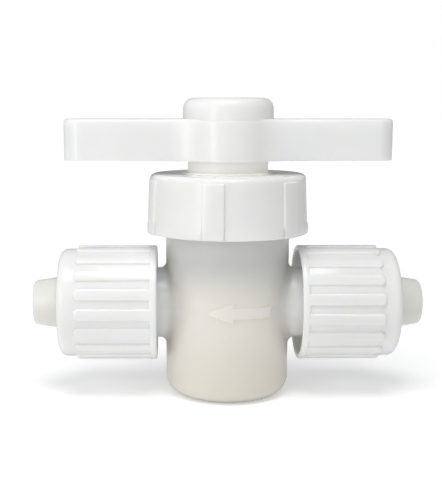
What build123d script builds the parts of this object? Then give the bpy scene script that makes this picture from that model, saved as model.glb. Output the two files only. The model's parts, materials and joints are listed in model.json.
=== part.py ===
from build123d import *
import os
from math import cos, radians, sin

# An in-line stop valve for half-inch plastic pipe, shut by a quarter turn of its butterfly handle.
# Millimetres. The origin is the centre of the barrel's foot. +Z runs up the plug's axis, +X along the
# pipe line towards the inlet, and the raised flow arrow on the barrel faces -Y and points to -X.

# ---- fits ----
running = 0.05              # radial clearance of a piece that turns in another
loose = 0.15                # clearance between pieces put together by hand
seated = 0.02               # gap round a ring that sits in its groove
thread_gap = 0.15           # clearance of a thread's crests and flanks

# ---- barrel ----
barrel_radius = 17.0
bore_radius = 13.0          # bore that holds the plug
foot_rounding = 5.0
floor_thickness = 4.5
port_height = 25.25         # height of the pipe line above the foot
waterway_radius = 4.7

# ---- bonnet nut and what it holds down ----
bonnet_clear = 4.1          # gap between the coupling nuts and the bonnet nut's underside
bonnet_height = 16.0
bonnet_wall = 4.9           # bonnet nut's reach beyond the barrel
bonnet_draft = 0.6          # how much the nut's side leans in, bottom to top
bonnet_roof = 2.6
bonnet_lip_proud = 0.25
bonnet_lip_height = 2.8
bonnet_rounding = 1.3
grip_rib_count = 6
grip_rib_width = 6.2
grip_rib_proud = 0.5
grip_rib_first = -13.0      # turn of the first rib from the barrel's front
bonnet_entry = 1.3          # plain length below the nut's thread
bonnet_pitch = 3.0
bonnet_turns = 2.6
bonnet_thread_depth = 1.2
stem_lip_height = 0.5       # raised ring round the nut's opening
stem_lip_width = 1.5
washer_thickness = 1.0

# ---- plug and its stem ----
stem_radius = 11.05
drive_square = 11.0
drive_height = 8.5
plug_end_gap = 0.3
shoulder_gap = 0.1
ring_section = 1.8          # thickness of the plug's rubber rings
lower_seal_rise = 6.5       # lower ring above the barrel's floor
middle_seal_rise = 17.25    # middle and upper rings above the pipe line
upper_seal_rise = 23.75
waist_depth = 0.6           # relief between the plug's bearing bands
waist_rise = 9.25           # above the pipe line
waist_height = 5.5
lug_angle = 20.0            # stop lug on the plug's shoulder
lug_direction = 135.0       # where the lug points when the valve is open, from +X
lug_height = 3.0
lug_reach = 1.4
lug_gap = 1.0               # degrees between the lug and its stops
quarter_turn = 90.0
pilot_depth = 15.0
port_radius = 5.0           # waterway through the plug and its seats

# ---- seats beside the plug ----
seat_radius = 7.8
seat_depth = 2.5            # how far the seat's back stands behind the bore
seat_ring_section = 1.6
seat_ring_radius = 6.3

# ---- butterfly handle ----
handle_gap = 3.6            # between the bonnet nut's roof and the handle
arm_height = 11.2
arm_reach = 44.7
arm_tip_half = 5.6
arm_root_half = 7.6         # half thickness where the two arms would meet
arm_blend = 20.0
arm_edge_rounding = 1.0
arm_end_rounding = 5.0
arm_wall = 1.9
arm_roof = 2.2
hub_radius = 12.5
hub_height = 16.8
hub_draft = 0.25
hub_rounding = 2.75
hub_web = 2.4               # floor between the square socket and the screw's well
socket_gap = 0.2
well_radius = 6.4
cap_thickness = 1.2
cap_recess = 0.3
cap_dish = 0.7

# ---- handle screw ----
screw_radius = 2.4
screw_length = 15.0         # under the head
screw_head_radius = 4.2
screw_head_height = 2.4
screw_slot_width = 1.0
screw_slot_length = 5.0
screw_slot_depth = 1.3
flat_washer_radius = 5.4
flat_washer_thickness = 0.8

# ---- pipe ends ----
neck_radius = 9.74
neck_blend = 1.75
spigot_setback = 2.14       # start of the threaded end behind the coupling nut's open face
spigot_length = 13.4
spigot_core = 11.15
insert_proud = 7.25         # how far the insert stands out of the coupling nut
insert_root_radius = 7.9    # where the insert leaves the threaded end
insert_mouth_radius = 7.2   # where it leaves the coupling nut
insert_tip_radius = 6.05
insert_rounding = 0.8
coupling_pitch = 2.5
coupling_turns = 4.2
coupling_thread_depth = 1.2
coupling_thread_setback = 4.54

# ---- coupling nuts ----
coupling_gap = 2.46         # between the barrel and the nut's open face
coupling_length = 26.84
coupling_radius = 15.85
pad_height = 0.9
collar_length = 4.8
coupling_rounding = 2.2
rim_width = 1.9
skirt_wall = 1.4
skirt_depth = 3.4
pad_count = 18
pad_share = 0.59            # part of each pitch that the raised pad takes
pad_rounding = 1.3
inlet_pad_turn = -3.2       # turn of one pad from the horizontal, anticlockwise seen from the pipe's end
outlet_pad_turn = 8.3
pipe_hole_radius = 8.2
end_wall = 2.8
ring_chamber = 9.0          # length of the tapered chamber behind the end wall
chamber_mouth_radius = 9.9

# ---- gripping rings ----
grip_ring_length = 6.2
grip_ring_bore = 8.75
grip_ring_split = 2.0
tooth_reach = 0.35
tooth_pitch = 1.8

# ---- flow arrow ----
arrow_height = 0.45         # how far it stands out of the barrel
arrow_tip = -6.7
arrow_head_end = 1.0
arrow_tail = 11.3
arrow_head_half = 2.9
arrow_shaft_half = 1.5

# ---- places worked out from the sizes above ----
# distances along the pipe line are from the plug's axis
coupling_start = barrel_radius + coupling_gap
coupling_end = coupling_start + coupling_length
coupling_thread_start = coupling_start + coupling_thread_setback
collar_radius = coupling_radius - pad_height
spigot_start = coupling_start + spigot_setback
spigot_end = spigot_start + spigot_length
insert_end = coupling_end + insert_proud
seat_back = bore_radius + seat_depth
bonnet_bottom = port_height + coupling_radius + bonnet_clear
bonnet_radius = barrel_radius + bonnet_wall
bonnet_top = bonnet_bottom + bonnet_height
bonnet_underside = bonnet_top - bonnet_roof
rim_height = bonnet_underside - washer_thickness
shoulder_height = rim_height - shoulder_gap
plug_radius = bore_radius - running
waist_low = port_height + waist_rise
waist_high = waist_low + waist_height
ring_heights = (
    floor_thickness + lower_seal_rise, port_height + middle_seal_rise, port_height + upper_seal_rise)
handle_bottom = bonnet_top + handle_gap
stem_hole = stem_radius + 0.3
drive_top = handle_bottom + drive_height
socket_top = drive_top + socket_gap
well_floor = socket_top + hub_web
hub_top = handle_bottom + hub_height
screw_seat = well_floor + flat_washer_thickness
bonnet_thread_core = barrel_radius - bonnet_thread_depth
bonnet_thread_low = bonnet_bottom + bonnet_entry + 0.7
spigot_crest = spigot_core + coupling_thread_depth
coupling_bore = spigot_crest + thread_gap + 0.05


def turned(points):
    """Spin an outline of (radius, height) points round Z into one solid."""
    outline = Polyline(*[(r, 0, z) for r, z in points], close=True)
    return revolve(make_face(outline), Axis.Z, 360)


def tube(inner, outer, low, high):
    """A plain ring round Z."""
    return turned([(inner, low), (outer, low), (outer, high), (inner, high)])


def rubber_ring(centre_radius, section, height):
    """An O-ring round Z."""
    return Pos(0, 0, height) * Torus(centre_radius, section / 2)


def thread_ridge(root, crest, root_width, crest_width, pitch, turns):
    """A right-hand helical ridge from its root radius to its crest, rising from Z = 0."""
    bury = 0.25 if crest > root else -0.25
    flank = (root_width - crest_width) / 2 / abs(crest - root)
    foot_half = root_width / 2 + flank * abs(bury)
    path = Helix(pitch, pitch * turns, root)
    section_plane = Plane(origin=path @ 0, x_dir=(1, 0, 0), z_dir=path % 0)
    reach = crest - root
    corners = [(-bury, -foot_half), (reach, -crest_width / 2), (reach, crest_width / 2), (-bury, foot_half)]
    section = section_plane * make_face(Polyline(*corners, close=True))
    return sweep(section, path=path, is_frenet=True)


def outer_ridge(core, depth, pitch, turns):
    """Male thread on a core."""
    return thread_ridge(core, core + depth, 0.6 * pitch, 0.28 * pitch, pitch, turns)


def inner_ridge(core, depth, pitch, turns, bore):
    """Female thread that runs in the gaps of outer_ridge with thread_gap all round."""
    crest = core + thread_gap
    flank = 0.32 * pitch / depth
    crest_width = 0.4 * pitch + flank * thread_gap - 2 * thread_gap
    root_width = crest_width + flank * (bore - crest)
    return thread_ridge(bore, crest, root_width, crest_width, pitch, turns)


def on_pipe_line(shape, side):
    """Stand a shape made round Z on the pipe line: side 0 is the inlet, side 180 the outlet."""
    return Pos(0, 0, port_height) * Rot(0, 0, side) * Rot(0, 90, 0) * shape


def spigot():
    """Threaded end and tapered insert, solid, round Z."""
    chamfer_size = 0.8
    threaded = turned([
        (0, spigot_start - 1), (neck_radius, spigot_start - 1), (neck_radius, spigot_start),
        (spigot_core - chamfer_size, spigot_start), (spigot_core, spigot_start + chamfer_size),
        (spigot_core, spigot_end - chamfer_size), (spigot_core - chamfer_size, spigot_end), (0, spigot_end),
    ])
    ridge = outer_ridge(spigot_core, coupling_thread_depth, coupling_pitch, coupling_turns - 0.6)
    tapered = turned([
        (0, spigot_end - 0.5), (insert_root_radius, spigot_end - 0.5), (insert_mouth_radius, coupling_end),
        (insert_tip_radius, insert_end), (0, insert_end),
    ])
    tip_edge = tapered.edges().filter_by(GeomType.CIRCLE).sort_by(Axis.Z)[-1]
    tapered = fillet(tip_edge, insert_rounding)
    return threaded + Pos(0, 0, coupling_thread_start) * ridge + tapered


def flow_arrow():
    """Raised arrow that wraps round the barrel's front."""
    outline = [
        (arrow_tip, 0), (arrow_head_end, arrow_head_half), (arrow_head_end, arrow_shaft_half),
        (arrow_tail, arrow_shaft_half), (arrow_tail, -arrow_shaft_half),
        (arrow_head_end, -arrow_shaft_half), (arrow_head_end, -arrow_head_half),
    ]
    flat = Plane.XZ * Pos(0, port_height) * make_face(Polyline(*outline, close=True))
    stood_up = extrude(flat, barrel_radius + 5)
    skin = tube(barrel_radius - 0.3, barrel_radius + arrow_height, port_height - 6, port_height + 6)
    return stood_up & skin


def stop_pocket():
    """Cut in the barrel's rim that lets the plug's lug swing a quarter turn."""
    sweep_angle = quarter_turn + lug_angle + 2 * lug_gap
    ring = tube(
        bore_radius - 0.5, bore_radius + lug_reach + loose, rim_height - lug_height - 0.3, rim_height + 1)
    return sector(ring, lug_direction - quarter_turn - lug_angle / 2 - lug_gap, sweep_angle)


def sector(shape, start, angle):
    """Keep the part of a shape between two directions round Z."""
    reach = 100
    steps = 6
    rim = [(reach * cos(radians(start + angle * i / steps)), reach * sin(radians(start + angle * i / steps)))
           for i in range(steps + 1)]
    wedge = extrude(make_face(Polyline((0, 0), *rim, close=True)), 2 * reach)
    return shape & Pos(0, 0, -reach / 2) * wedge


def valve_body():
    """Barrel with its two pipe ends, moulded in one piece."""
    groove = 0.5
    barrel = turned([
        (0, 0), (barrel_radius, 0), (barrel_radius, bonnet_bottom + groove),
        (bonnet_thread_core, bonnet_bottom + groove + 0.6), (bonnet_thread_core, rim_height - 0.6),
        (bonnet_thread_core - 0.6, rim_height), (0, rim_height),
    ])
    foot_edge = barrel.edges().filter_by(GeomType.CIRCLE).sort_by(Axis.Z)[0]
    barrel = fillet(foot_edge, foot_rounding)
    necks = [on_pipe_line(tube_solid(neck_radius, 0, spigot_start), side) for side in (0, 180)]
    body = barrel + necks
    body = fillet(new_edges(barrel, *necks, combined=body), neck_blend)
    body += [on_pipe_line(spigot(), side) for side in (0, 180)]
    ridge = outer_ridge(bonnet_thread_core, bonnet_thread_depth, bonnet_pitch, bonnet_turns)
    body += Pos(0, 0, bonnet_thread_low) * ridge
    body += flow_arrow()
    body -= tube_solid(bore_radius, floor_thickness, rim_height + 1)
    seat_pocket = tube_solid(seat_radius + loose, 0, seat_back + 0.2)
    waterway = tube_solid(waterway_radius, 0, insert_end + 1)
    for side in (0, 180):
        body -= on_pipe_line(seat_pocket, side)
        body -= on_pipe_line(waterway, side)
    return body - stop_pocket()


def tube_solid(radius, low, high):
    """A plain solid cylinder round Z."""
    return turned([(0, low), (radius, low), (radius, high), (0, high)])


def bonnet_nut():
    """Nut that screws down over the barrel's rim and keeps the plug in."""
    opening = stem_hole
    side_top = bonnet_radius - bonnet_draft
    shell = turned([
        (0, bonnet_bottom), (bonnet_radius, bonnet_bottom), (side_top, bonnet_top), (0, bonnet_top)])
    top_edge = shell.edges().filter_by(GeomType.CIRCLE).sort_by(Axis.Z)[-1]
    shell = fillet(top_edge, bonnet_rounding)
    lip = tube_solid(bonnet_radius + bonnet_lip_proud, bonnet_bottom, bonnet_bottom + bonnet_lip_height)
    rib_radius = bonnet_radius + grip_rib_proud
    rib = Pos((side_top + rib_radius) / 2 - 1, 0, bonnet_bottom) * Box(
        rib_radius - side_top + 2, grip_rib_width, bonnet_height - bonnet_rounding,
        align=(Align.CENTER, Align.CENTER, Align.MIN))
    limit = turned([
        (0, bonnet_bottom), (rib_radius, bonnet_bottom), (side_top + grip_rib_proud, bonnet_top),
        (0, bonnet_top)])
    first = -90 + grip_rib_first
    ribs = [Rot(0, 0, first + 360 / grip_rib_count * i) * (rib & limit) for i in range(grip_rib_count)]
    stem_lip = tube_solid(opening + stem_lip_width, bonnet_top - 0.5, bonnet_top + stem_lip_height)
    nut = shell + lip + ribs + stem_lip
    bore = barrel_radius + thread_gap + 0.05
    nut -= tube_solid(bore, bonnet_bottom - 1, bonnet_underside)
    nut -= tube_solid(opening, bonnet_underside - 1, bonnet_top + 2)
    ridge = inner_ridge(bonnet_thread_core, bonnet_thread_depth, bonnet_pitch, bonnet_turns - 0.4, bore)
    return nut + Pos(0, 0, bonnet_thread_low + bonnet_pitch / 2) * ridge


def thrust_washer():
    """Ring between the nut's roof and the barrel's rim that takes the plug's upward push."""
    return tube(stem_hole, bonnet_thread_core - 0.6, rim_height, bonnet_underside)


def plug():
    """Turning plug with its waterway, seal grooves, stop lug and square drive, in one piece."""
    low = floor_thickness + plug_end_gap
    edge = 0.8
    body = turned([
        (0, low), (plug_radius - edge, low), (plug_radius, low + edge), (plug_radius, waist_low),
        (plug_radius - waist_depth, waist_low + waist_depth),
        (plug_radius - waist_depth, waist_high - waist_depth),
        (plug_radius, waist_high), (plug_radius, shoulder_height), (stem_radius, shoulder_height),
        (stem_radius, handle_bottom), (0, handle_bottom),
    ])
    groove_floor = bore_radius - running - ring_section - seated
    for height in ring_heights:
        half = ring_section / 2 + seated
        body -= tube(groove_floor, bore_radius + 1, height - half, height + half)
    ring = tube(plug_radius - 1, bore_radius + lug_reach, shoulder_height - lug_height, shoulder_height)
    body += sector(ring, lug_direction - lug_angle / 2, lug_angle)
    drive = Pos(0, 0, handle_bottom) * Box(
        drive_square, drive_square, drive_height, align=(Align.CENTER, Align.CENTER, Align.MIN))
    body += chamfer(drive.edges().group_by(Axis.Z)[-1], 0.6)
    body -= Pos(0, 0, port_height) * Rot(0, 90, 0) * Cylinder(port_radius, 3 * plug_radius)
    return body - tube_solid(screw_radius + seated, drive_top - pilot_depth, drive_top + 1)


def plug_ring(height):
    """Rubber ring in one of the plug's grooves."""
    return rubber_ring(bore_radius - running - ring_section / 2, ring_section, height)


def seat():
    """Seat that bears on the plug round the waterway, with a groove for its rubber ring behind."""
    blank = tube(port_radius, seat_radius, 0, seat_back)
    half = seat_ring_section / 2 + seated
    groove_low = seat_back + 0.2 - seat_ring_section - seated
    groove = tube(seat_ring_radius - half, seat_ring_radius + half, groove_low, seat_back + 1)
    plug_space = Rot(0, 90, 0) * Cylinder(bore_radius, 6 * seat_radius)
    return (blank - groove) - plug_space


def seat_ring():
    """Rubber ring behind a seat."""
    return rubber_ring(seat_ring_radius, seat_ring_section, seat_back + 0.2 - seat_ring_section / 2)


def arm_plan():
    """Plan of the two arms and the hub as one outline."""
    bar = make_face(Polyline(
        (-arm_reach, -arm_tip_half), (0, -arm_root_half), (arm_reach, -arm_tip_half),
        (arm_reach, arm_tip_half), (0, arm_root_half), (-arm_reach, arm_tip_half), close=True))
    plan = bar + Circle(hub_radius)
    corners = plan.vertices()
    inner = [v for v in corners if abs(v.X) < hub_radius]
    plan = fillet(inner, arm_blend)
    tips = [v for v in plan.vertices() if abs(v.X) > arm_reach - 0.01]
    return fillet(tips, arm_end_rounding)


def arm_pocket():
    """Hollow under one arm, open below, with a rib across its middle."""
    start = hub_radius + arm_wall
    finish = arm_reach - arm_wall
    slope = (arm_root_half - arm_tip_half) / arm_reach
    half_start = arm_root_half - slope * start - arm_wall
    half_finish = arm_root_half - slope * finish - arm_wall
    plan = make_face(Polyline(
        (start, -half_start), (finish, -half_finish), (finish, half_finish), (start, half_start), close=True))
    plan = fillet(plan.vertices(), 1.5)
    middle = (start + finish) / 2
    plan -= Pos(middle, 0) * Rectangle(arm_wall * 0.8, 4 * arm_root_half)
    return Pos(0, 0, handle_bottom - 1) * extrude(plan, arm_height - arm_roof + 1)


def handle():
    """Butterfly handle with its square socket and the well for its screw."""
    arms = Pos(0, 0, handle_bottom) * extrude(arm_plan(), arm_height)
    arms = fillet(arms.edges().group_by(Axis.Z)[-1], arm_edge_rounding)
    hub = turned([
        (0, handle_bottom), (hub_radius, handle_bottom), (hub_radius - hub_draft, hub_top), (0, hub_top)])
    hub = fillet(hub.edges().filter_by(GeomType.CIRCLE).sort_by(Axis.Z)[-1], hub_rounding)
    shape = arms + hub
    for side in (0, 180):
        shape -= Rot(0, 0, side) * arm_pocket()
    socket = drive_square + 2 * running
    shape -= Pos(0, 0, handle_bottom - 1) * Box(
        socket, socket, drive_height + socket_gap + 1, align=(Align.CENTER, Align.CENTER, Align.MIN))
    shape -= tube_solid(screw_radius + loose, socket_top - 1, well_floor + 1)
    return shape - tube_solid(well_radius, well_floor, hub_top + 1)


def handle_screw():
    """Pan head screw that holds the handle on the plug's square."""
    head = tube_solid(screw_head_radius, screw_seat, screw_seat + screw_head_height)
    head = fillet(head.edges().filter_by(GeomType.CIRCLE).sort_by(Axis.Z)[-1], 0.9)
    point = 1.2
    tip = screw_seat - screw_length
    shank = turned([
        (0, tip), (screw_radius - point, tip), (screw_radius, tip + point), (screw_radius, screw_seat + 0.1),
        (0, screw_seat + 0.1)])
    slot = Pos(0, 0, screw_seat + screw_head_height) * Box(
        screw_slot_length, screw_slot_width, 2 * screw_slot_depth)
    return head + shank - slot - Rot(0, 0, 90) * slot


def handle_washer():
    """Flat washer under the screw's head."""
    return tube(screw_radius + loose, flat_washer_radius, well_floor, screw_seat)


def handle_cap():
    """Dished button that closes the screw's well."""
    top = hub_top - cap_recess
    radius = well_radius - seated
    dish_radius = radius - 0.8
    ball = (dish_radius ** 2 + cap_dish ** 2) / (2 * cap_dish)
    button = tube_solid(radius, top - cap_thickness, top)
    return button - Pos(0, 0, top - cap_dish + ball) * Sphere(ball)


def coupling_nut(pad_turn):
    """Ribbed nut that draws the pipe up on its insert, round Z, with its pads turned by pad_turn."""
    base = tube_solid(collar_radius, coupling_start, coupling_end)
    base = fillet(base.edges().filter_by(GeomType.CIRCLE).sort_by(Axis.Z)[-1], coupling_rounding)
    rim = tube_solid(coupling_radius, coupling_start, coupling_start + rim_width)
    pad_end = coupling_end - collar_length
    pad_width = 2 * coupling_radius * sin(radians(360 / pad_count * pad_share / 2))
    pad_plan = Rectangle(pad_width, pad_end - coupling_start)
    pad_plan = fillet(pad_plan.vertices().group_by(Axis.Y)[-1], pad_rounding)
    pad = extrude(Plane.XZ * Pos(0, (pad_end + coupling_start) / 2) * pad_plan, coupling_radius + 1)
    pad &= tube(collar_radius - 1, coupling_radius, coupling_start, pad_end)
    pads = [Rot(0, 0, pad_turn + 360 / pad_count * i) * pad for i in range(pad_count)]
    nut = base + rim + pads
    chamber_start = coupling_end - end_wall - ring_chamber
    hollow = turned([
        (0, coupling_start - 1), (coupling_radius - skirt_wall, coupling_start - 1),
        (coupling_radius - skirt_wall, coupling_start + skirt_depth),
        (coupling_bore, coupling_start + skirt_depth),
        (coupling_bore, chamber_start), (chamber_mouth_radius, coupling_end - end_wall),
        (pipe_hole_radius, coupling_end - end_wall), (pipe_hole_radius, coupling_end + 1),
        (0, coupling_end + 1),
    ])
    nut -= hollow
    ridge = inner_ridge(spigot_core, coupling_thread_depth, coupling_pitch, coupling_turns - 1, coupling_bore)
    return nut + Pos(0, 0, coupling_thread_start + coupling_pitch / 2) * ridge


def grip_ring():
    """Split ring with inward teeth that bites on the pipe, wedged by the nut's tapered chamber."""
    high = coupling_end - end_wall - loose
    low = high - grip_ring_length
    slope = (coupling_bore - chamber_mouth_radius) / ring_chamber
    outer_high = chamber_mouth_radius - running + slope * loose
    outer_low = outer_high + slope * grip_ring_length
    points = [(grip_ring_bore, low), (outer_low, low), (outer_high, high), (grip_ring_bore, high)]
    teeth = int(grip_ring_length / tooth_pitch)
    for i in range(teeth):
        top = high - 0.3 - i * tooth_pitch
        points += [
            (grip_ring_bore, top), (grip_ring_bore - tooth_reach, top),
            (grip_ring_bore, top - tooth_pitch / 2)]
    ring = turned(points)
    split = Pos(outer_low, 0, (low + high) / 2) * Box(2 * outer_low, grip_ring_split, 2 * grip_ring_length)
    return ring - split


def pieces():
    """Every piece of the valve by the name of its node."""
    made = {
        "valve_body": valve_body(),
        "bonnet_nut": bonnet_nut(),
        "thrust_washer": thrust_washer(),
        "plug": plug(),
        "lower_plug_seal": plug_ring(ring_heights[0]),
        "middle_plug_seal": plug_ring(ring_heights[1]),
        "upper_plug_seal": plug_ring(ring_heights[2]),
        "handle": handle(),
        "handle_screw": handle_screw(),
        "handle_screw_washer": handle_washer(),
        "handle_cap": handle_cap(),
    }
    for name, side, pad_turn in (("inlet", 0, inlet_pad_turn), ("outlet", 180, outlet_pad_turn)):
        made[name + "_seat"] = on_pipe_line(seat(), side)
        made[name + "_seat_seal"] = on_pipe_line(seat_ring(), side)
        made[name + "_grip_ring"] = on_pipe_line(grip_ring(), side)
        made[name + "_nut"] = on_pipe_line(coupling_nut(pad_turn), side)
    return made


os.makedirs("parts", exist_ok=True)
for node, shape in pieces().items():
    export_step(shape, "parts/" + node + ".step")
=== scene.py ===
"""Looks of an in-line quarter-turn stop valve, moulded in white plastic, with a butterfly handle.

Metres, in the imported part's own frame: the foot stands on the floor at the origin, +Z runs up the plug's
axis, +X along the pipe line towards the inlet, and the flow arrow faces -Y.
"""

import json
from contextlib import contextmanager
from math import asin, atan2, cos, hypot, pi, radians, sin, sqrt

import bmesh
import bpy
from mathutils import Matrix, Vector


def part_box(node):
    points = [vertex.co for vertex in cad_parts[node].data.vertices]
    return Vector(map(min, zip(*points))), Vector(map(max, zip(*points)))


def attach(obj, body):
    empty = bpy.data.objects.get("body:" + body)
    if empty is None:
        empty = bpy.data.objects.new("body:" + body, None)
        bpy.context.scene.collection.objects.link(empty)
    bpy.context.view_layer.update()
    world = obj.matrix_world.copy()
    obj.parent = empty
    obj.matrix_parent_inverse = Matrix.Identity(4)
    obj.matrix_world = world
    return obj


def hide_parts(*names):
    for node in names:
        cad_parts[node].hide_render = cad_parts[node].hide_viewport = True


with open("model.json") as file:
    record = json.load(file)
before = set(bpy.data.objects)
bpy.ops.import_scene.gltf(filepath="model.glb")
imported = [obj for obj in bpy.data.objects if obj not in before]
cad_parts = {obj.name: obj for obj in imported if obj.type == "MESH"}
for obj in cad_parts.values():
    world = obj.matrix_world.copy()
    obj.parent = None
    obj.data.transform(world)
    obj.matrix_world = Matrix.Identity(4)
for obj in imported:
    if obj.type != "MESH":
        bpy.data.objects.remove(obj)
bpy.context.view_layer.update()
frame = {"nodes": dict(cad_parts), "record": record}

# ---- places read from the frame ----
body_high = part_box("valve_body")[1]
inlet_low, inlet_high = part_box("inlet_nut")
bonnet_low, bonnet_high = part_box("bonnet_nut")
handle_low, handle_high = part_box("handle")
cap_low, cap_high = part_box("handle_cap")
port_height = (inlet_low.z + inlet_high.z) / 2
barrel_radius = body_high.y
nut_radius = (inlet_high.z - inlet_low.z) / 2
nut_start, nut_end = inlet_low.x, inlet_high.x

# ---- how round pieces are divided ----
column = radians(2)              # turn of one column of faces
around = round(2 * pi / column)
hair = 2e-6                      # tolerance when picking edges and faces by their place
overcut = 0.001                  # how far a cut runs past the surface that it opens

# ---- body ----
foot_rounding = 0.005
floor_thickness = 0.0045
plug_bore = 0.013
hidden_rim = 0.0005              # how far up inside the bonnet nut the barrel keeps its full width
bonnet_thread_core = 0.0158
rim_chamfer = 0.0006
neck_radius = 0.00974
neck_blend = 0.00175
neck_blend_steps = 9
neck_bury = 0.0015               # how deep a neck starts inside the barrel
spigot_start = nut_start + 0.00214
spigot_length = 0.0134
spigot_core = 0.01115
spigot_chamfer = 0.0008
thread_setback = 0.00454
thread_pitch = 0.0025
thread_turns = 3.6
thread_depth = 0.0012
thread_foot = 0.3 * thread_pitch     # half width of the ridge at its foot, and at its crest
thread_crest = 0.14 * thread_pitch
thread_bury = 0.0003
thread_steps = round(72 * thread_turns)
insert_root = 0.0079             # insert's radius at the spigot, then at the coupling nut's end
insert_mouth = 0.0072
insert_tip = 0.00605
insert_rounding = 0.0008
seat_pocket_radius = 0.00795
seat_pocket_end = 0.0157
waterway_start = 0.002
waterway_radius = 0.0047

arrow_tip = -0.0067
arrow_head_end = 0.0010
arrow_tail = 0.0113
arrow_head_half = 0.0029
arrow_shaft_half = 0.0015
arrow_proud = 0.00045
arrow_thickness = 0.0009         # half of it is buried in the barrel
arrow_edge = 0.00042
arrow_clear = 0.0003             # gap between the arrow's ends and the mould's ridge
parting_half = 0.00014
parting_proud = 0.00006
parting_tip_gap = 0.0012         # where the mould's ridge stops short of an insert's end
parting_way_gap = 0.0055         # how near the pipe line the ridge comes
skirt_cover = 0.0018             # what the coupling nut hides of the ridge, at its skirt and at its end
mouth_cover = 0.0004

# ---- bonnet nut ----
bonnet_wall = 0.0049             # nut's reach beyond the barrel
bonnet_clearance = 0.0002        # between the barrel and the nut's bore
bonnet_draft = 0.0006
bonnet_roof = 0.0026
bonnet_rounding = 0.0013
bonnet_opening = 0.01135
bonnet_lip_proud = 0.00025
bonnet_lip_height = 0.0022
bonnet_lip_slope = 0.0008
stem_lip_height = 0.0005
stem_lip_width = 0.0015
stem_lip_edge = 0.0002
rib_count = 6
rib_turn = radians(-13)          # first rib, measured from the front
rib_half = 4 * column
rib_proud = 0.0005
rib_edge = 0.00045
side_reach = 0.0002              # how far inside its top radius the nut's side still counts as side
corner_reach = 0.0003            # how far outside it the ribs' and lip's corners lie
step_height = 0.0003             # thicker stretch of the nut's rim, outside a radius
step_radius = 0.0172
step_inset = 0.0003
step_edge = 0.00025

# ---- coupling nuts ----
pad_count = 18
pad_proud = 0.0009
pad_angle = radians(11.8)
pad_corner = 0.0013
pad_edge = 0.0005
pad_start = 0.0009               # where the pads start inside the rim
pad_bury = 0.0005
pad_skin = 0.00002               # keeps the pads' tops just inside the rim's surface
valley_depth = 0.00055
valley_slope_start = 0.0016      # the valleys run out towards the collar, measured from the pads' ends
valley_slope_end = 0.0006
inlet_pad_turn = radians(-3.2)
outlet_pad_turn = radians(8.3)
collar_length = 0.0048
collar_rounding = 0.0022
rim_width = 0.0019
skirt_wall = 0.0014
skirt_depth = 0.0034
thread_bore = 0.01255
pipe_hole = 0.0082
pipe_hole_edge = 0.0005
end_wall = 0.0028
chamber_length = 0.0090
chamber_mouth = 0.0099

# ---- handle and cap ----
arm_height = 0.0112
arm_tip_half = 0.0056
arm_root_half = 0.0076
arm_blend = 0.020
arm_end_rounding = 0.005
arm_edge = 0.0010
arm_wall = 0.0019
arm_roof = 0.0022
arm_rib_half = 0.4 * arm_wall
pocket_corner = 0.0012
hub_draft = 0.00025
hub_rounding = 0.00275
well_radius = 0.0064
well_depth = 0.0049
well_edge = 0.00025
drive_square = 0.0111
drive_depth = 0.0087
screw_hole = 0.00255
cap_rim = 0.0008
cap_dish = 0.0007
cap_edge = 0.0002

# ---- light and tones ----
floor_glow = 0.32                # paper's own light beside the valve, and far away
floor_glow_far = 0.72
hidden_glow_share = 0.3          # share of that light which falls on the valve
glow_start = 0.12
glow_end = 0.8
room_light = 0.354
# painted shade and painted light in the body's colour: grey for the shade under the bonnet nut, lighter necks,
# and a darker, creamier foot
painted_shade_grey = (0.67, 0.675, 0.66, 1)
foot_cream = (0.755, 0.725, 0.655, 1)
painted_neck_light = (0.98, 0.965, 0.93, 1)
nut_shade_start = port_height + 0.002       # heights between which the painted shade under the bonnet nut comes in
nut_shade_end = port_height + 0.013
foot_tone_start = 0.004
neck_tone_start = barrel_radius - 0.0012
neck_tone_end = barrel_radius + 0.0015


# ---- modelling by hand ----

def deselect():
    bpy.ops.object.select_all(action="DESELECT")


def activate(piece):
    """Makes a piece the only one selected."""
    deselect()
    piece.select_set(True)
    bpy.context.view_layer.objects.active = piece


@contextmanager
def editing(piece):
    """Edit mode on one piece."""
    activate(piece)
    bpy.ops.object.mode_set(mode="EDIT")
    yield
    bpy.ops.object.mode_set(mode="OBJECT")


def choose(kind, test):
    """Selects the edited piece's verts, edges or faces that pass a test, and says how many there are."""
    bpy.ops.mesh.select_mode(type={"verts": "VERT", "edges": "EDGE", "faces": "FACE"}[kind])
    bpy.ops.mesh.select_all(action="DESELECT")
    mesh = bmesh.from_edit_mesh(bpy.context.object.data)
    mesh.normal_update()
    chosen = [item for item in getattr(mesh, kind) if test(item)]
    for item in chosen:
        item.select_set(True)
    mesh.select_flush_mode()
    bmesh.update_edit_mesh(bpy.context.object.data)
    return len(chosen)


def from_axis(point):
    return hypot(point.x, point.y)


def front_turn(point):
    """Turn of a point round Z, measured from -Y and positive towards +X."""
    return atan2(point.x, -point.y)


def apart(turn, other):
    """Smallest angle between two turns."""
    return abs((turn - other + pi) % (2 * pi) - pi)


def settle(piece):
    """Puts a piece's place into its mesh."""
    activate(piece)
    bpy.ops.object.transform_apply(location=True, rotation=True, scale=True)


def apply_all(piece):
    """Applies a piece's modifiers in order."""
    activate(piece)
    for modifier in list(piece.modifiers):
        bpy.ops.object.modifier_apply(modifier=modifier.name)


def smooth(piece, angle=32):
    """Smooth shading that keeps the corners sharper than an angle."""
    activate(piece)
    bpy.ops.object.shade_smooth_by_angle(angle=radians(angle))


def tidy():
    """Merges doubles and turns the faces of the edited piece outwards."""
    bpy.ops.mesh.select_all(action="SELECT")
    bpy.ops.mesh.remove_doubles(threshold=hair)
    bpy.ops.mesh.normals_make_consistent(inside=False)


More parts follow.
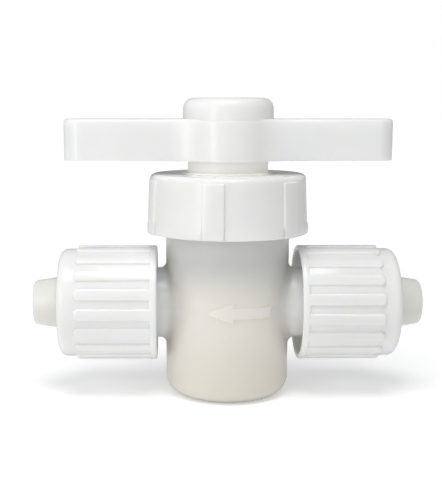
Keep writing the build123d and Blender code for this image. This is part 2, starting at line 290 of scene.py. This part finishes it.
def turned(name, outline, turn=0.0):
    """A shell turned round Z through (radius, height) points; open ends are closed with a flat face."""
    (radius, height), *further = outline
    deselect()
    bpy.ops.mesh.primitive_circle_add(
        vertices=around, radius=radius, location=(0, 0, height), rotation=(0, 0, turn))
    piece = bpy.context.object
    piece.name = name
    settle(piece)
    with editing(piece):
        bpy.ops.mesh.select_all(action="SELECT")
        for next_radius, next_height in further:
            bpy.ops.mesh.extrude_region_move(TRANSFORM_OT_translate={"value": (0, 0, next_height - height)})
            grow = next_radius / radius
            bpy.ops.transform.resize(value=(grow, grow, 1), center_override=(0, 0, 0))
            radius, height = next_radius, next_height
        bpy.ops.mesh.select_all(action="SELECT")
        bpy.ops.mesh.remove_doubles(threshold=hair)
        for end_radius, end_height in (outline[0], outline[-1]):
            if choose("edges", lambda edge: edge.is_boundary and on_ring(edge, end_radius, end_height)):
                bpy.ops.mesh.edge_face_add()
        tidy()
    return piece


def on_ring(edge, radius, height):
    """Whether an edge lies on a circle round Z."""
    return all(abs(from_axis(v.co) - radius) < hair and abs(v.co.z - height) < hair for v in edge.verts)


def round_ring(radius, height, amount, steps=4):
    """Rounds the edited piece's corner that runs round Z at a radius and height."""
    choose("edges", lambda edge: on_ring(edge, radius, height))
    bpy.ops.mesh.bevel(offset=amount, segments=steps, affect="EDGES")


def block(name, low, high):
    """A box between two corners."""
    low, high = Vector(low), Vector(high)
    deselect()
    bpy.ops.mesh.primitive_cube_add(size=1, location=(low + high) / 2, scale=high - low)
    piece = bpy.context.object
    piece.name = name
    settle(piece)
    return piece


def wrap(piece, radius):
    """Bends a flat piece that lies along X round a cylinder; what lies at y = -radius keeps its length."""
    xs = [v.co.x for v in piece.data.vertices]
    width = column * radius
    with editing(piece):
        for step in range(int(min(xs) / width) - 1, int(max(xs) / width) + 2):
            bpy.ops.mesh.select_all(action="SELECT")
            bpy.ops.mesh.bisect(plane_co=((step + 0.5) * width, 0, 0), plane_no=(1, 0, 0))
    bpy.context.scene.cursor.location = (0, -radius, 0)
    activate(piece)
    bpy.ops.object.origin_set(type="ORIGIN_CURSOR")
    bend = piece.modifiers.new("wrap", "SIMPLE_DEFORM")
    bend.deform_method = "BEND"
    bend.deform_axis = "Z"
    bend.angle = (max(xs) - min(xs)) / radius
    apply_all(piece)
    settle(piece)


def repeat_round(piece, count):
    """Repeats a piece round Z, evenly, inside its own mesh."""
    sweep = 2 * pi * (count - 1) / count
    with editing(piece):
        bpy.ops.mesh.select_all(action="SELECT")
        bpy.ops.mesh.spin(steps=count - 1, dupli=True, angle=sweep, center=(0, 0, 0), axis=(0, 0, 1))


def combine(piece, other, operation="UNION"):
    """Adds another piece to this one, or cuts it away, and removes the other."""
    step = piece.modifiers.new("combine", "BOOLEAN")
    step.operation = operation
    step.solver = "EXACT"
    step.object = other
    apply_all(piece)
    bpy.data.objects.remove(other)
    with editing(piece):
        bpy.ops.mesh.select_all(action="SELECT")
        bpy.ops.mesh.remove_doubles(threshold=hair)


def outline_face(name, start, moves, height):
    """An outline drawn from a start point by moves: a straight run (x, y), or an arc (centre, angle, steps)."""
    deselect()
    bpy.ops.mesh.primitive_plane_add(size=0.001, location=(*start, height))
    piece = bpy.context.object
    piece.name = name
    settle(piece)
    with editing(piece):
        bpy.ops.mesh.select_mode(type="VERT")
        bpy.ops.mesh.select_all(action="SELECT")
        bpy.ops.mesh.merge(type="CENTER")
        at = Vector((*start, height))
        for move in moves:
            if len(move) == 2:
                target = Vector((*move, height))
                bpy.ops.mesh.extrude_region_move(TRANSFORM_OT_translate={"value": target - at})
                at = target
            else:
                centre, angle, steps = move
                centre = Vector((*centre, height))
                bpy.ops.mesh.spin(steps=steps, angle=-angle, center=centre, axis=(0, 0, 1))
                at = centre + Matrix.Rotation(angle, 3, "Z") @ (at - centre)
        bpy.ops.mesh.select_all(action="SELECT")
        bpy.ops.mesh.remove_doubles(threshold=hair)
    return piece


# ---- the pieces ----

def valve_body():
    """Barrel, flared necks, threaded ends and tapered inserts, moulded in one piece."""
    rim, shoulder = body_high.z, bonnet_low.z + hidden_rim
    piece = turned("moulded_body", [
        (barrel_radius, 0), (barrel_radius, shoulder), (bonnet_thread_core, shoulder + rim_chamfer),
        (bonnet_thread_core, rim - rim_chamfer), (bonnet_thread_core - rim_chamfer, rim)])
    with editing(piece):
        round_ring(barrel_radius, 0, foot_rounding, 12)
    for side in (0, pi):
        end = pipe_end()
        combine(end, thread_ridge(spigot_core, nut_start + thread_setback))
        lay_on_pipe_line(end, side)
        combine(piece, end)
    bore = turned("plug_bore", [(plug_bore, floor_thickness), (plug_bore, rim + overcut)])
    combine(piece, bore, "DIFFERENCE")
    ways = ((seat_pocket_radius, seat_pocket_end), (waterway_radius, body_high.x + overcut))
    for side in (0, pi):
        for radius, reach in ways:
            way = turned("way", [(radius, waterway_start), (radius, reach)])
            lay_on_pipe_line(way, side)
            combine(piece, way, "DIFFERENCE")
    combine(piece, flow_arrow())
    raise_parting_line(piece)
    smooth(piece, 30)
    return piece


def pipe_end():
    """Neck flared against the barrel, spigot and tapered insert, solid, round Z."""
    steps = neck_blend_steps
    flare = [(neck_radius + neck_blend * (1 - sin(pi / 2 * i / steps)),
              barrel_radius + neck_blend * (1 - cos(pi / 2 * i / steps))) for i in range(steps + 1)]
    chamfer = spigot_chamfer
    spigot_end = spigot_start + spigot_length
    tip = body_high.x
    piece = turned("pipe_end", [
        (flare[0][0], barrel_radius - neck_bury), *flare, (neck_radius, spigot_start),
        (spigot_core - chamfer, spigot_start), (spigot_core, spigot_start + chamfer),
        (spigot_core, spigot_end - chamfer), (spigot_core - chamfer, spigot_end),
        (insert_root, spigot_end), (insert_mouth, nut_end), (insert_tip, tip)])
    with editing(piece):
        round_ring(insert_tip, tip, insert_rounding, 5)
        # the flare follows the barrel's curve
        mesh = bmesh.from_edit_mesh(piece.data)
        for v in mesh.verts:
            if v.co.z < barrel_radius + neck_blend + hair:
                v.co.z += sqrt(barrel_radius ** 2 - v.co.y ** 2) - barrel_radius
        bmesh.update_edit_mesh(piece.data)
    return piece


def thread_ridge(core, start):
    """Right-hand ridge of the coupling thread on its core, round Z."""
    root, top = core - thread_bury, core + thread_depth
    outline = [(root, -thread_foot), (top, -thread_crest), (top, thread_crest), (root, thread_foot)]
    piece = outline_face("thread_ridge", outline[0], outline[1:] + outline[:1], 0)
    piece.matrix_world = Matrix.Translation((0, 0, start)) @ Matrix.Rotation(pi / 2, 4, "X")
    settle(piece)
    screw = piece.modifiers.new("screw", "SCREW")
    screw.angle = 2 * pi * thread_turns
    screw.screw_offset = thread_pitch * thread_turns
    screw.steps = screw.render_steps = thread_steps
    screw.use_merge_vertices = False
    apply_all(piece)
    with editing(piece):
        for edge_height in (start, start + thread_pitch * thread_turns):
            choose("edges", lambda edge: edge.is_boundary
                   and all(abs(v.co.z - edge_height) < thread_foot + hair for v in edge.verts))
            bpy.ops.mesh.edge_face_add()
        tidy()
    return piece


def flow_arrow():
    """The raised arrow on the barrel, its edges softened by the mould."""
    surface = barrel_radius + arrow_proud
    tip, head_end, tail = (surface * asin(x / surface) for x in (arrow_tip, arrow_head_end, arrow_tail))
    head, shaft = arrow_head_half, arrow_shaft_half
    corners = [(tip, 0), (head_end, head), (head_end, shaft), (tail, shaft),
               (tail, -shaft), (head_end, -shaft), (head_end, -head)]
    piece = outline_face("flow_arrow", corners[0], corners[1:] + corners[:1], 0)
    with editing(piece):
        bpy.ops.mesh.select_all(action="SELECT")
        bpy.ops.mesh.edge_face_add()
        bpy.ops.mesh.extrude_region_move(TRANSFORM_OT_translate={"value": (0, 0, arrow_thickness)})
        tidy()
        choose("edges", lambda edge: all(v.co.z > arrow_thickness - hair for v in edge.verts))
        bpy.ops.mesh.bevel(offset=arrow_edge, segments=5, affect="EDGES")
    place = Matrix.Translation((0, arrow_thickness - surface, port_height))
    piece.matrix_world = place @ Matrix.Rotation(pi / 2, 4, "X")
    settle(piece)
    wrap(piece, surface)
    return piece


def raise_parting_line(piece):
    """The fine ridge where the halves of the mould met, round the barrel, the necks and the inserts."""
    hidden_start, hidden_end = nut_start + skirt_cover, nut_end - mouth_cover

    def shows(vert):
        place = vert.co
        along = abs(place.x)
        if abs(place.z - port_height) > hair or from_axis(place) < barrel_radius - hair:
            return False
        if hidden_start < along < hidden_end or along > body_high.x - parting_tip_gap:
            return False
        if abs(place.y) < parting_way_gap:
            return False
        return place.y > 0 or not arrow_tip - arrow_clear < place.x < arrow_tail + arrow_clear

    with editing(piece):
        for row in (-2, -1, 0, 1, 2):      # the outer rows keep the smooth shading level beside the ridge
            bpy.ops.mesh.select_all(action="SELECT")
            bpy.ops.mesh.bisect(plane_co=(0, 0, port_height + row * parting_half), plane_no=(0, 0, 1))
        choose("verts", shows)
        bpy.ops.transform.shrink_fatten(value=parting_proud)


def bonnet_nut():
    """Six-ribbed nut over the barrel's rim, with a lip, a rounded top and one thicker stretch of rim."""
    bottom, top = bonnet_low.z, bonnet_high.z - stem_lip_height
    radius = barrel_radius + bonnet_wall
    side_top = radius - bonnet_draft
    bore = barrel_radius + bonnet_clearance
    lip_top = bottom + bonnet_lip_height
    lip_slope = lip_top + bonnet_lip_slope
    stem_lip = bonnet_opening + stem_lip_width
    lean = bonnet_draft / (top - bottom)
    piece = turned("ribbed_bonnet_nut", [
        (bore, bottom), (radius + bonnet_lip_proud, bottom), (radius + bonnet_lip_proud, lip_top),
        (radius - lean * (lip_slope - bottom), lip_slope), (side_top, top), (step_radius, top),
        (stem_lip, top), (stem_lip, bonnet_high.z), (bonnet_opening, bonnet_high.z),
        (bonnet_opening, top - bonnet_roof), (bore, top - bonnet_roof), (bore, bottom)], turn=column / 2)
    with editing(piece):
        round_ring(side_top, top, bonnet_rounding, 5)
        round_ring(stem_lip, bonnet_high.z, stem_lip_edge, 2)
        round_ring(bonnet_opening, bonnet_high.z, stem_lip_edge, 2)
        raise_ribs(
            top - bonnet_rounding, side_top, lambda height: radius + rib_proud - lean * (height - bottom))
        raise_step(top)
    smooth(piece)
    return piece


def on_rib(turn):
    """Whether a turn round Z falls on one of the bonnet nut's ribs."""
    return any(apart(turn, rib_turn + 2 * pi / rib_count * i) < rib_half for i in range(rib_count))


def raise_ribs(rib_top, side_top, reach):
    """Raises the edited bonnet nut's ribs to a radius given by height, and softens their edges."""
    def on_side(face):
        middle = face.calc_center_median()
        upright = abs(face.normal.z) < 0.5
        outer = from_axis(middle) > side_top - side_reach and middle.z < rib_top
        return upright and outer and on_rib(front_turn(middle))

    choose("faces", on_side)
    bpy.ops.mesh.extrude_region_move()
    mesh = bmesh.from_edit_mesh(bpy.context.object.data)
    for vert in mesh.verts:
        if vert.select:
            grow = reach(vert.co.z) / from_axis(vert.co)
            vert.co.x *= grow
            vert.co.y *= grow
    bmesh.update_edit_mesh(bpy.context.object.data)
    choose("edges", lambda edge: is_outer_corner(edge, side_top + corner_reach))
    bpy.ops.mesh.bevel(offset=rib_edge, segments=5, affect="EDGES")


def is_outer_corner(edge, radius):
    """Whether an edge is a sharp outward corner beyond a radius."""
    outside = all(from_axis(v.co) > radius for v in edge.verts)
    return outside and edge.is_manifold and edge.calc_face_angle_signed() > radians(40)


def raise_step(top):
    """Thickens the edited bonnet nut's rim between its first rib and the next."""
    def on_step(face):
        middle = face.calc_center_median()
        if abs(middle.z - top) > hair or face.normal.z < 0.9 or from_axis(middle) < step_radius:
            return False
        return rib_turn < front_turn(middle) < rib_turn + 2 * pi / rib_count

    choose("faces", on_step)
    bpy.ops.mesh.inset(thickness=step_inset, depth=0)
    bpy.ops.mesh.extrude_region_move(TRANSFORM_OT_translate={"value": (0, 0, step_height)})
    choose("edges", lambda edge: all(abs(v.co.z - top - step_height) < hair for v in edge.verts)
           and edge.calc_face_angle(0) > radians(40))
    bpy.ops.mesh.bevel(offset=step_edge, segments=3, affect="EDGES")


def coupling_nut(name, side, pad_turn):
    """Nut with raised pads that meet its rim, a smooth rounded collar and a thin open skirt."""
    collar = nut_radius - pad_proud
    valley = nut_radius - valley_depth
    rim_end = nut_start + rim_width
    pad_end = nut_end - collar_length
    wall_start = nut_end - end_wall
    chamber_start = wall_start - chamber_length
    skirt, skirt_end = nut_radius - skirt_wall, nut_start + skirt_depth
    piece = turned(name, [
        (skirt, nut_start), (nut_radius, nut_start), (nut_radius, rim_end), (valley, rim_end),
        (valley, pad_end - valley_slope_start), (collar, pad_end - valley_slope_end), (collar, nut_end),
        (pipe_hole, nut_end), (pipe_hole, wall_start), (chamber_mouth, wall_start),
        (thread_bore, chamber_start), (thread_bore, skirt_end), (skirt, skirt_end), (skirt, nut_start)])
    with editing(piece):
        round_ring(collar, nut_end, collar_rounding, 7)
        round_ring(nut_radius, nut_start, pad_edge, 3)
        round_ring(nut_radius, rim_end, pad_edge, 3)
        round_ring(skirt, nut_start, pad_edge, 3)
        round_ring(pipe_hole, nut_end, pipe_hole_edge, 3)
    combine(piece, grip_pads(pad_turn, collar, pad_end))
    lay_on_pipe_line(piece, side)
    smooth(piece, 36)
    return piece


def grip_pads(pad_turn, collar, pad_end):
    """The pads of a coupling nut, round Z, with rounded corners at their outer ends."""
    top = nut_radius - pad_skin
    half = top * pad_angle / 2
    pad = block("pads", (-half, -top, nut_start + pad_start), (half, -collar + pad_bury, pad_end))
    with editing(pad):
        choose("edges", lambda edge: all(abs(v.co.z - pad_end) < hair for v in edge.verts)
               and abs(edge.verts[0].co.y - edge.verts[1].co.y) > hair)
        bpy.ops.mesh.bevel(offset=pad_corner, segments=5, affect="EDGES")
        choose("edges", lambda edge: all(abs(v.co.y + top) < hair for v in edge.verts))
        bpy.ops.mesh.bevel(offset=pad_edge, segments=3, affect="EDGES")
    wrap(pad, top)
    repeat_round(pad, pad_count)
    pad.matrix_world = Matrix.Rotation(pad_turn - pi / 2, 4, "Z")
    settle(pad)
    return pad


def lay_on_pipe_line(piece, side):
    """Lays a piece made round Z on the pipe line: side 0 is the inlet, half a turn the outlet."""
    piece.matrix_world = (Matrix.Translation((0, 0, port_height)) @ Matrix.Rotation(side, 4, "Z")
                          @ Matrix.Rotation(pi / 2, 4, "Y"))
    settle(piece)


def quarter_arm(height):
    """One quarter of the two arms' plan, from the handle's middle to its tip, as the edge that shows."""
    reach = handle_high.x
    lean = atan2(arm_root_half - arm_tip_half, reach)
    hub = handle_high.y
    # the blend's centre is arm_blend outside the arm's side and arm_blend outside the hub
    normal = Vector((sin(lean), cos(lean)))
    side_point = Vector((0, arm_root_half))
    along = Vector((cos(lean), -sin(lean)))
    offset = side_point + normal * arm_blend
    ahead = offset.dot(along)
    middle = -ahead + sqrt(ahead ** 2 - offset.length_squared + (hub + arm_blend) ** 2)
    blend_centre = offset + along * middle
    on_hub = blend_centre.normalized() * hub
    end_centre = Vector((reach - arm_end_rounding, 0))
    end_centre.y = (side_point.y - end_centre.x * sin(lean) / cos(lean)) - arm_end_rounding / cos(lean)
    hub_turn = atan2(on_hub.y, on_hub.x) - pi / 2
    blend_turn = (atan2(-normal.y, -normal.x) - atan2(-on_hub.y, -on_hub.x) + pi) % (2 * pi) - pi
    side_end = end_centre + normal * arm_end_rounding
    return outline_face("quarter_arm", (0, hub), [
        ((0, 0), hub_turn, 8), (tuple(blend_centre), blend_turn, 8), tuple(side_end),
        (tuple(end_centre), -atan2(normal.y, normal.x), 10), (reach, 0)], height)


def butterfly_handle():
    """Handle with two tapering arms, cored from below, blended into a round hub with a dished top."""
    bottom, hub_top = handle_low.z, handle_high.z
    arm_top = bottom + arm_height
    piece = quarter_arm(bottom)
    mirror = piece.modifiers.new("mirror", "MIRROR")
    mirror.use_axis = (True, True, False)
    mirror.merge_threshold = hair
    apply_all(piece)
    with editing(piece):
        bpy.ops.mesh.select_all(action="SELECT")
        bpy.ops.mesh.edge_face_add()
        bpy.ops.mesh.extrude_region_move(TRANSFORM_OT_translate={"value": (0, 0, arm_height)})
        tidy()
        choose("edges", lambda edge: all(abs(v.co.z - arm_top) < hair for v in edge.verts))
        bpy.ops.mesh.bevel(offset=arm_edge, segments=4, affect="EDGES")
    core_arms(piece, bottom)
    hub_radius = handle_high.y
    hub = turned("hub", [
        (hub_radius, bottom), (hub_radius - hub_draft, hub_top), (well_radius, hub_top),
        (well_radius, hub_top - well_depth)])
    with editing(hub):
        round_ring(hub_radius - hub_draft, hub_top, hub_rounding, 7)
        round_ring(well_radius, hub_top, well_edge, 3)
    combine(piece, hub)
    half = drive_square / 2
    socket = block("socket", (-half, -half, bottom - overcut), (half, half, bottom + drive_depth))
    combine(piece, socket, "DIFFERENCE")
    screw_way = turned("screw_way", [(screw_hole, bottom), (screw_hole, hub_top - overcut)])
    combine(piece, screw_way, "DIFFERENCE")
    piece.name = "butterfly_handle"
    smooth(piece)
    return piece


def core_arms(piece, bottom):
    """Hollows both arms from below and leaves a rib across the middle of each."""
    start = handle_high.y + arm_wall
    finish = handle_high.x - arm_wall
    middle = (start + finish) / 2
    slope = (arm_root_half - arm_tip_half) / handle_high.x
    for side in (0, pi):
        for near, far in ((start, middle - arm_rib_half), (middle + arm_rib_half, finish)):
            low_half, high_half = (arm_root_half - slope * x - arm_wall for x in (near, far))
            roof = bottom + arm_height - arm_roof
            pocket = block("pocket", (near, -low_half, bottom - overcut), (far, low_half, roof))
            with editing(pocket):
                choose("faces", lambda face: face.normal.x > 0.9)
                taper = high_half / low_half
                bpy.ops.transform.resize(value=(1, taper, 1), center_override=(far, 0, 0))
                choose("edges", lambda edge: abs(edge.verts[0].co.z - edge.verts[1].co.z) > overcut)
                bpy.ops.mesh.bevel(offset=pocket_corner, segments=4, affect="EDGES")
            pocket.matrix_world = Matrix.Rotation(side, 4, "Z")
            settle(pocket)
            combine(piece, pocket, "DIFFERENCE")


def well_cap():
    """Dished button that closes the screw's well."""
    radius, top, bottom = cap_high.x, cap_high.z, cap_low.z
    dish = radius - cap_rim

    def on_dish(face):
        return face.normal.z > 0.9 and from_axis(face.calc_center_median()) < 0.0001

    piece = turned("dished_cap", [(radius, bottom), (radius, top), (dish, top)])
    with editing(piece):
        for share in (0.75, 0.5, 0.25):
            choose("faces", on_dish)
            bpy.ops.mesh.inset(thickness=dish / 4, depth=0)
            deep = -cap_dish * ((1 - share ** 2) - (1 - (share + 0.25) ** 2))
            bpy.ops.transform.translate(value=(0, 0, deep))
        round_ring(radius, top, cap_edge, 2)
    smooth(piece, 40)
    return piece


# ---- finishes ----

class Signal:
    """A number that varies over a surface; sums and products of it add Math nodes to its finish."""

    def __init__(self, finish, socket):
        self.finish = finish
        self.socket = socket

    def math(self, operation, first, second):
        return self.finish.add("Math", {"operation": operation}, {0: first, 1: second})

    def __add__(self, other):
        return self.math("ADD", self, other)

    def __radd__(self, other):
        return self.math("ADD", other, self)

    def __sub__(self, other):
        return self.math("SUBTRACT", self, other)

    def __rsub__(self, other):
        return self.math("SUBTRACT", other, self)

    def __mul__(self, other):
        return self.math("MULTIPLY", self, other)

    def __rmul__(self, other):
        return self.math("MULTIPLY", other, self)


class Finish:
    """A material under construction: a principled shader and the nodes that feed it."""

    def __init__(self, name, **constants):
        self.material = bpy.data.materials.new(name)
        self.material.use_nodes = True
        self.tree = self.material.node_tree
        self.shader = self.tree.nodes["Principled BSDF"]
        for socket, value in constants.items():
            self.shader.inputs[socket.replace("_", " ")].default_value = value

    def add(self, kind, settings=None, inputs=None, output=0):
        """Adds a node: its settings first, then the values or links of its sockets."""
        node = self.tree.nodes.new("ShaderNode" + kind)
        for name, value in (settings or {}).items():
            setattr(node, name, value)
        for name, value in (inputs or {}).items():
            self.feed(node.inputs[name], value)
        return Signal(self, node.outputs[output])

    def feed(self, socket, value):
        """Links a signal to a socket, or sets the socket to a plain value."""
        if isinstance(value, Signal):
            self.tree.links.new(value.socket, socket)
        else:
            socket.default_value = value

    def set(self, socket, value):
        """Feeds one of the shader's own sockets."""
        self.feed(self.shader.inputs[socket], value)

    def place(self):
        """Where a point lies on the valve, in metres."""
        return self.add("TexCoord", output="Object")

    def split(self, vector):
        """The three numbers of a vector."""
        first = self.add("SeparateXYZ", None, {0: vector})
        return [Signal(self, output) for output in first.socket.node.outputs]

    def magnitude(self, signal):
        return self.add("Math", {"operation": "ABSOLUTE"}, {0: signal})

    def noise(self, scale, detail=2.0, roughness=0.5):
        """Noise of a given fineness, in waves per metre, from 0 to 1."""
        return self.add("TexNoise", None, {
            "Vector": self.place(), "Scale": scale, "Detail": detail, "Roughness": roughness})

    def ramp(self, signal, low, high):
        """Stretches a signal so that low becomes 0 and high becomes 1."""
        return self.add("MapRange", {"clamp": True}, {"Value": signal, "From Min": low, "From Max": high})

    def blend(self, amount, first, second):
        """Mixes two colours."""
        return self.add("Mix", {"data_type": "RGBA"}, {0: amount, 6: first, 7: second}, output=2)

    def bump(self, height, strength, distance):
        """Roughens the skin by a height signal, at a strength and a depth in metres."""
        self.set("Normal", self.add("Bump", None, {
            "Height": height, "Strength": strength, "Distance": distance}))


def moulded_plastic(name, colour, shade, roughness, depth, scatter, glow=0.0, tone=None):
    """Milky moulded plastic: faint clouding, a gloss that wanders a little and a very fine skin.

    Depth is the share of light that goes under the skin and scatter how far it goes, in metres. Glow stands
    for light that reaches a piece through its neighbours, and tone is a function that shades the colour.
    """
    finish = Finish(
        name, IOR=1.48, Subsurface_Weight=depth, Subsurface_Scale=scatter, Subsurface_Radius=(1.0, 0.93, 0.78),
        Emission_Color=(1.0, 0.97, 0.90, 1), Emission_Strength=glow)
    cloud = finish.ramp(finish.noise(55, 3), 0.35, 0.7)
    flow = finish.noise(240, 2)
    skin_colour = finish.blend(cloud * 0.6 + flow * 0.3, (*colour, 1), (*shade, 1))
    finish.set("Base Color", tone(finish, skin_colour) if tone else skin_colour)
    finish.set("Roughness", roughness + 0.06 * flow - 0.03 * cloud)
    finish.bump(finish.noise(1500, 2) * 0.3 + finish.noise(260, 1), 0.03, 0.0002)
    return finish.material


def body_tone(finish, colour):
    """Painted shade and light: greyer on the upper barrel, where the bonnet nut shades it, lighter on the
    necks, and darker and creamier towards the foot.
    """
    along, _, height = finish.split(finish.place())
    under_nut_shade = finish.ramp(height, nut_shade_start, nut_shade_end)
    on_neck = finish.ramp(finish.magnitude(along), neck_tone_start, neck_tone_end)
    near = 1 - finish.ramp(finish.magnitude(along), nut_start, nut_end)
    foot = 1 - finish.ramp(height, foot_tone_start, port_height)
    shaded = finish.blend(under_nut_shade, finish.blend(foot, colour, foot_cream), painted_shade_grey)
    return finish.blend(on_neck * near, shaded, painted_neck_light)


def rubber_finish():
    """Black seal rubber with a dull bloom."""
    finish = Finish("seal_rubber", IOR=1.5)
    bloom = finish.ramp(finish.noise(420, 4), 0.4, 0.75)
    finish.set("Base Color", finish.blend(bloom, (0.012, 0.012, 0.013, 1), (0.045, 0.045, 0.043, 1)))
    finish.set("Roughness", 0.45 + 0.25 * bloom)
    finish.bump(finish.noise(3000, 3), 0.15, 0.0001)
    return finish.material


def steel_finish():
    """Bright turned steel with fine drag marks round the screw's axis."""
    finish = Finish("screw_steel", Metallic=1.0)
    marks = finish.add("TexWave", {"wave_type": "RINGS", "rings_direction": "Z"}, {
        "Vector": finish.place(), "Scale": 900.0, "Distortion": 1.5, "Detail": 2.0}, output="Fac")
    stain = finish.ramp(finish.noise(500, 3), 0.4, 0.8)
    finish.set("Base Color", finish.blend(stain, (0.62, 0.62, 0.61, 1), (0.42, 0.41, 0.39, 1)))
    finish.set("Roughness", 0.24 + 0.16 * stain + 0.05 * marks)
    finish.bump(marks, 0.08, 0.00005)
    return finish.material


def dress(piece, material, body, slot_name, *nodes):
    """Gives a new piece its finish, its body and the nodes that it stands for; the slot name is not used."""
    piece.data.materials.clear()
    piece.data.materials.append(material)
    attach(piece, body)
    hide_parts(*nodes)


# ---- surroundings ----

def softbox(name, turn, rise, distance, width, height, power):
    """An area light that faces the valve from a turn round Z and a rise above the floor, in degrees."""
    light = bpy.data.lights.new(name, "AREA")
    light.shape = "RECTANGLE"
    light.size = width
    light.size_y = height
    light.energy = power
    lamp = bpy.data.objects.new(name, light)
    bpy.context.scene.collection.objects.link(lamp)
    a, e = radians(turn), radians(rise)
    back = Vector((sin(a) * cos(e), -cos(a) * cos(e), sin(e)))
    lamp.location = Vector((0, 0, port_height)) + back * distance
    lamp.rotation_mode = "QUATERNION"
    lamp.rotation_quaternion = (-back).to_track_quat("-Z", "Y")


def paper_floor():
    """White paper under the valve, with a light of its own that grows towards the horizon."""
    deselect()
    bpy.ops.mesh.primitive_plane_add(size=12)
    floor = bpy.context.object
    floor.name = "paper_floor"
    finish = Finish("white_paper", Roughness=0.9)
    fibre = finish.noise(120, 3)
    finish.set("Base Color", finish.blend(fibre, (0.93, 0.93, 0.93, 1), (0.90, 0.90, 0.90, 1)))
    distance = finish.add("VectorMath", {"operation": "LENGTH"}, {0: finish.place()}, output="Value")
    far = finish.ramp(distance, glow_start, glow_end)
    near_glow, far_glow = (*(floor_glow,) * 3, 1), (*(floor_glow_far,) * 3, 1)
    finish.set("Emission Color", finish.blend(far, near_glow, far_glow))
    seen = finish.add("LightPath", output=0)
    finish.set("Emission Strength", hidden_glow_share + (1 - hidden_glow_share) * seen)
    floor.data.materials.append(finish.material)


def pale_surroundings():
    """An even pale room, with a white backdrop where the view goes past the floor."""
    world = bpy.data.worlds.new("pale_room")
    bpy.context.scene.world = world
    world.use_nodes = True
    nodes, links = world.node_tree.nodes, world.node_tree.links
    room = nodes["Background"]
    room.inputs["Color"].default_value = (0.97, 0.985, 1, 1)
    room.inputs["Strength"].default_value = room_light
    backdrop = nodes.new("ShaderNodeBackground")
    backdrop.inputs["Color"].default_value = (1, 1, 1, 1)
    backdrop.inputs["Strength"].default_value = 1.0
    seen = nodes.new("ShaderNodeLightPath")
    either = nodes.new("ShaderNodeMixShader")
    links.new(seen.outputs["Is Camera Ray"], either.inputs["Fac"])
    links.new(room.outputs["Background"], either.inputs[1])
    links.new(backdrop.outputs["Background"], either.inputs[2])
    links.new(either.outputs["Shader"], nodes["World Output"].inputs["Surface"])


def camera():
    """A long lens, level with the handle and looking slightly down."""
    lens = bpy.data.cameras.new("camera")
    lens.lens = 69.12
    lens.sensor_fit = "VERTICAL"
    lens.sensor_height = 36
    lens.shift_x = 0.0707
    lens.clip_start = 0.01
    lens.clip_end = 30
    eye = bpy.data.objects.new("camera", lens)
    bpy.context.scene.collection.objects.link(eye)
    eye.location = (-0.01445, -0.2630, 0.0788)
    turn, dip = radians(0.63), radians(8.385)
    gaze = Vector((sin(turn) * cos(dip), cos(turn) * cos(dip), -sin(dip)))
    eye.rotation_mode = "QUATERNION"
    eye.rotation_quaternion = gaze.to_track_quat("-Z", "Y")
    bpy.context.scene.camera = eye


# ---- the valve's finishes: colour, clouded colour, roughness, depth and scatter ----
handle_white = moulded_plastic("handle_white", (0.90, 0.90, 0.885), (0.87, 0.87, 0.85), 0.22, 0.8, 0.003)
cap_white = moulded_plastic("cap_white", (0.88, 0.88, 0.865), (0.84, 0.84, 0.82), 0.26, 0.6, 0.0006)
# the bonnet nut's finish is the nut plastic a little darker: painted shade
bonnet_shaded_white = moulded_plastic("bonnet_shaded_white", (0.87, 0.87, 0.855), (0.84, 0.84, 0.82), 0.18, 0.9, 0.002)
coupling_white = moulded_plastic(
    "coupling_white", (0.90, 0.90, 0.89), (0.87, 0.87, 0.855), 0.18, 0.9, 0.0013)
# its tone paints shade under the bonnet nut and light on the necks
body_milk = moulded_plastic(
    "body_milk", (0.84, 0.82, 0.77), (0.82, 0.795, 0.74), 0.22, 1.0, 0.005, tone=body_tone)
# the stem's glow is painted light, for light that comes through the plastic from its neighbours
stem_cream = moulded_plastic(
    "stem_cream", (0.93, 0.91, 0.855), (0.91, 0.885, 0.825), 0.16, 1.0, 0.006, glow=0.17)
seat_wax = moulded_plastic("seat_wax", (0.86, 0.86, 0.85), (0.80, 0.80, 0.79), 0.40, 0.5, 0.002)
ring_white = moulded_plastic("ring_white", (0.80, 0.80, 0.78), (0.74, 0.74, 0.72), 0.34, 0.5, 0.002)
node_finishes = {
    "body_plastic": body_milk,
    "nut_plastic": coupling_white,
    "handle_plastic": handle_white,
    "stem_plastic": stem_cream,
    "seat_plastic": seat_wax,
    "ring_plastic": ring_white,
    "rubber": rubber_finish(),
    "screw_steel": steel_finish(),
}
for part in frame["record"]["subparts"]:
    node = frame["nodes"][part["node"]]
    node.data.materials.clear()
    node.data.materials.append(node_finishes[part["material_slot"]])

# ---- its pieces ----
dress(valve_body(), body_milk, "valve", "body_plastic", "valve_body")
dress(bonnet_nut(), bonnet_shaded_white, "valve", "nut_plastic", "bonnet_nut")
for end, side, pad_turn in (("inlet", 0, inlet_pad_turn), ("outlet", pi, outlet_pad_turn)):
    nut = coupling_nut(end + "_coupling_nut", side, pad_turn)
    dress(nut, coupling_white, end + "_coupling", "nut_plastic", end + "_nut")
dress(butterfly_handle(), handle_white, "handle_and_plug", "handle_plastic", "handle")
dress(well_cap(), cap_white, "handle_and_plug", "handle_plastic", "handle_cap")

# ---- its surroundings: each light's turn, rise, distance, width, height and power ----
paper_floor()
pale_surroundings()
softbox("window", -40, 14, 0.6, 0.16, 0.31, 0.50)
softbox("front_strip", -5, 33, 0.7, 0.26, 0.06, 0.13)
softbox("side_window", -70, 30, 0.7, 0.40, 0.40, 0.42)
softbox("overhead", -8, 72, 0.8, 0.5, 0.4, 3.2)
camera()
bpy.context.scene.view_settings.view_transform = "Standard"
